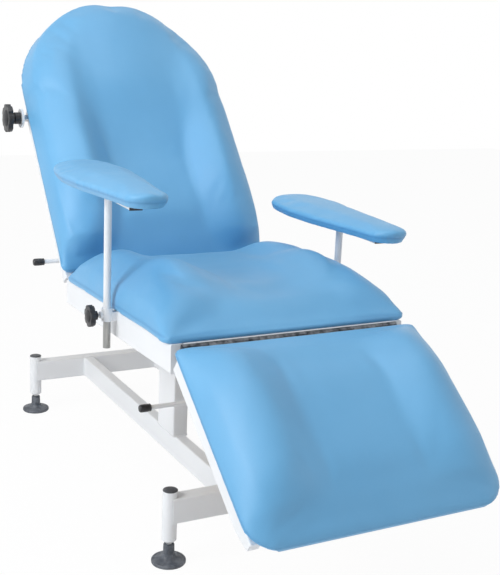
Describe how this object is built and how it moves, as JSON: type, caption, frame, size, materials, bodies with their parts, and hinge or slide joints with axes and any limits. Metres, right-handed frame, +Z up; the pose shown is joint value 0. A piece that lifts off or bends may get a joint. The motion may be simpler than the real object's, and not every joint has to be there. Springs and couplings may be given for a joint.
{
  "type": "phlebotomy chair",
  "caption": "Reclining blood-collection chair with shaped blue vinyl pads, height-adjustable swivel armrests, hinged back and leg rests and a white tubular base on levelling feet",
  "frame": {"origin": "on the floor, under the middle of the chair's outline as it stands at rest", "axes": "+X towards the left of someone who sits in the chair, +Y from the leg rest to the back rest, +Z up"},
  "size_m": [0.8126, 1.7205, 1.2081],
  "materials": {
    "white_enamel": "white powder coat",
    "vinyl": "pale blue vinyl over foam",
    "zinc_steel": "zinc-plated steel",
    "black_plastic": "moulded black plastic",
    "foot_plastic": "dark grey moulded plastic",
    "black_enamel": "black enamel",
    "plywood": "plain plywood"
  },
  "bodies": {
    "frame": {"front_beam": "white_enamel", "rear_beam": "white_enamel", "left_long_beam": "white_enamel", "right_long_beam": "white_enamel", "left_column": "white_enamel", "right_column": "white_enamel", "spring_brace": "white_enamel", "leg_tubes": "white_enamel", "leg_caps": "foot_plastic", "saddle_tube": "white_enamel", "seat_left_rail": "white_enamel", "seat_right_rail": "white_enamel", "seat_front_member": "white_enamel", "seat_rear_member": "white_enamel", "seat_board": "plywood", "seat_pad": "vinyl", "seat_front_leaf": "zinc_steel", "seat_rear_leaf": "zinc_steel", "hinge_pins": "zinc_steel", "left_socket": "white_enamel", "right_socket": "white_enamel"},
    "back": {"back_left_rail": "white_enamel", "back_right_rail": "white_enamel", "back_lower_member": "white_enamel", "back_upper_member": "white_enamel", "back_board": "plywood", "back_pad": "vinyl", "back_leaf": "zinc_steel", "accessory_stub": "zinc_steel"},
    "leg": {"leg_left_rail": "white_enamel", "leg_right_rail": "white_enamel", "leg_upper_member": "white_enamel", "leg_middle_member": "white_enamel", "leg_board": "plywood", "leg_pad": "vinyl", "leg_leaf": "zinc_steel"},
    "left_post": {"left_post": "white_enamel"},
    "left_arm": {"left_arm_bar": "white_enamel", "left_arm_pad": "vinyl"},
    "right_post": {"right_post": "white_enamel"},
    "right_arm": {"right_arm_bar": "white_enamel", "right_arm_pad": "vinyl"},
    "left_clamp_tip": {"left_clamp_tip": "zinc_steel"},
    "left_clamp_knob": {"left_clamp_knob": "black_plastic"},
    "right_clamp_tip": {"right_clamp_tip": "zinc_steel"},
    "right_clamp_knob": {"right_clamp_knob": "black_plastic"},
    "accessory_washer": {"accessory_washer": "white_enamel"},
    "accessory_knob": {"accessory_knob": "black_plastic"},
    "back_lever": {"back_lever": "white_enamel", "back_grip": "black_plastic"},
    "leg_lever": {"leg_lever": "white_enamel", "leg_grip": "black_plastic"},
    "front_left_foot": {"front_left_foot": "foot_plastic"},
    "front_right_foot": {"front_right_foot": "foot_plastic"},
    "rear_left_foot": {"rear_left_foot": "foot_plastic"},
    "rear_right_foot": {"rear_right_foot": "foot_plastic"},
    "back_spring_cylinder": {"back_spring_cylinder": "black_enamel"},
    "back_spring_rod": {"back_spring_rod": "zinc_steel"},
    "leg_spring_cylinder": {"leg_spring_cylinder": "black_enamel"},
    "leg_spring_rod": {"leg_spring_rod": "zinc_steel"}
  },
  "joints": [
    {"name": "back_hinge", "type": "hinge", "parent": "frame", "child": "back", "pos_m": [-0.00589, 0.27879, 0.49346], "axis": [1, 0, 0], "range_deg": [-51.5, 18.5]},
    {"name": "leg_hinge", "type": "hinge", "parent": "frame", "child": "leg", "pos_m": [-0.00589, -0.43993, 0.51354], "axis": [1, 0, 0], "range_deg": [-38, 10]},
    {"name": "left_post_slide", "type": "slide", "parent": "frame", "child": "left_post", "axis": [0, 0, 1], "range_m": [-0.148, 0.06]},
    {"name": "right_post_slide", "type": "slide", "parent": "frame", "child": "right_post", "axis": [0, 0, 1], "range_m": [-0.04, 0.168]},
    {"name": "left_arm_turn", "type": "hinge", "parent": "left_post", "child": "left_arm", "pos_m": [-0.32889, -0.1044, 0.788], "axis": [0, 0, 1], "continuous": true},
    {"name": "right_arm_turn", "type": "hinge", "parent": "right_post", "child": "right_arm", "pos_m": [0.31711, -0.1044, 0.68], "axis": [0, 0, 1], "continuous": true},
    {"name": "left_clamp_slide", "type": "slide", "parent": "frame", "child": "left_clamp_tip", "axis": [-1, 0, 0], "range_m": [0, 0.003]},
    {"name": "left_clamp_turn", "type": "hinge", "parent": "left_clamp_tip", "child": "left_clamp_knob", "pos_m": [-0.36889, -0.1044, 0.50267], "axis": [-1, 0, 0], "range_deg": [0, 720]},
    {"name": "right_clamp_slide", "type": "slide", "parent": "frame", "child": "right_clamp_tip", "axis": [1, 0, 0], "range_m": [0, 0.003]},
    {"name": "right_clamp_turn", "type": "hinge", "parent": "right_clamp_tip", "child": "right_clamp_knob", "pos_m": [0.35711, -0.1044, 0.50267], "axis": [1, 0, 0], "range_deg": [0, 720]},
    {"name": "accessory_washer_slide", "type": "slide", "parent": "back", "child": "accessory_washer", "axis": [1, 0, 0], "range_m": [0, 0.005]},
    {"name": "accessory_knob_turn", "type": "hinge", "parent": "accessory_washer", "child": "accessory_knob", "pos_m": [-0.34589, 0.63414, 0.90149], "axis": [1, 0, 0], "range_deg": [0, 720]},
    {"name": "back_lever_swing", "type": "hinge", "parent": "back", "child": "back_lever", "pos_m": [-0.03589, 0.35403, 0.53469], "axis": [0, -0.6441, -0.7649], "range_deg": [0, 8], "stiffness_Nm_per_rad": 12, "springref_deg": -3.44},
    {"name": "leg_lever_swing", "type": "hinge", "parent": "frame", "child": "leg_lever", "pos_m": [-0.03589, -0.12441, 0.259], "axis": [0, 1, 0], "range_deg": [0, 8], "stiffness_Nm_per_rad": 4},
    {"name": "front_left_foot_screw", "type": "slide", "parent": "frame", "child": "front_left_foot", "axis": [0, 0, -1], "range_m": [0, 0.015]},
    {"name": "front_right_foot_screw", "type": "slide", "parent": "frame", "child": "front_right_foot", "axis": [0, 0, -1], "range_m": [0, 0.015]},
    {"name": "rear_left_foot_screw", "type": "slide", "parent": "frame", "child": "rear_left_foot", "axis": [0, 0, -1], "range_m": [0, 0.015]},
    {"name": "rear_right_foot_screw", "type": "slide", "parent": "frame", "child": "rear_right_foot", "axis": [0, 0, -1], "range_m": [0, 0.015]},
    {"name": "back_spring_swing", "type": "hinge", "parent": "frame", "child": "back_spring_cylinder", "pos_m": [-0.00589, -0.0004, 0.4], "axis": [1, 0, 0], "range_deg": [-9, 3.3]},
    {"name": "back_spring_stroke", "type": "slide", "parent": "back_spring_cylinder", "child": "back_spring_rod", "axis": [0, 0.9902, 0.1394], "range_m": [-0.062, 0.0225]},
    {"name": "leg_spring_swing", "type": "hinge", "parent": "frame", "child": "leg_spring_cylinder", "pos_m": [-0.00589, -0.1254, 0.24], "axis": [1, 0, 0], "range_deg": [-8.1, 2.2]},
    {"name": "leg_spring_stroke", "type": "slide", "parent": "leg_spring_cylinder", "child": "leg_spring_rod", "axis": [0, -0.9593, 0.2823], "range_m": [-0.028, 0.105]}
  ],
  "couplings": [
    {"joint": "left_clamp_slide", "follows": "left_clamp_turn", "m_per_rad": 0.0002387},
    {"joint": "right_clamp_slide", "follows": "right_clamp_turn", "m_per_rad": 0.0002387},
    {"joint": "accessory_washer_slide", "follows": "accessory_knob_turn", "m_per_rad": 0.0003978},
    {"joint": "back_spring_swing", "follows": "back_hinge", "ratio": 0.1721},
    {"joint": "back_spring_stroke", "follows": "back_hinge", "m_per_rad": 0.068438},
    {"joint": "leg_spring_swing", "follows": "leg_hinge", "ratio": 0.2094},
    {"joint": "leg_spring_stroke", "follows": "leg_hinge", "m_per_rad": -0.15683}
  ]
}
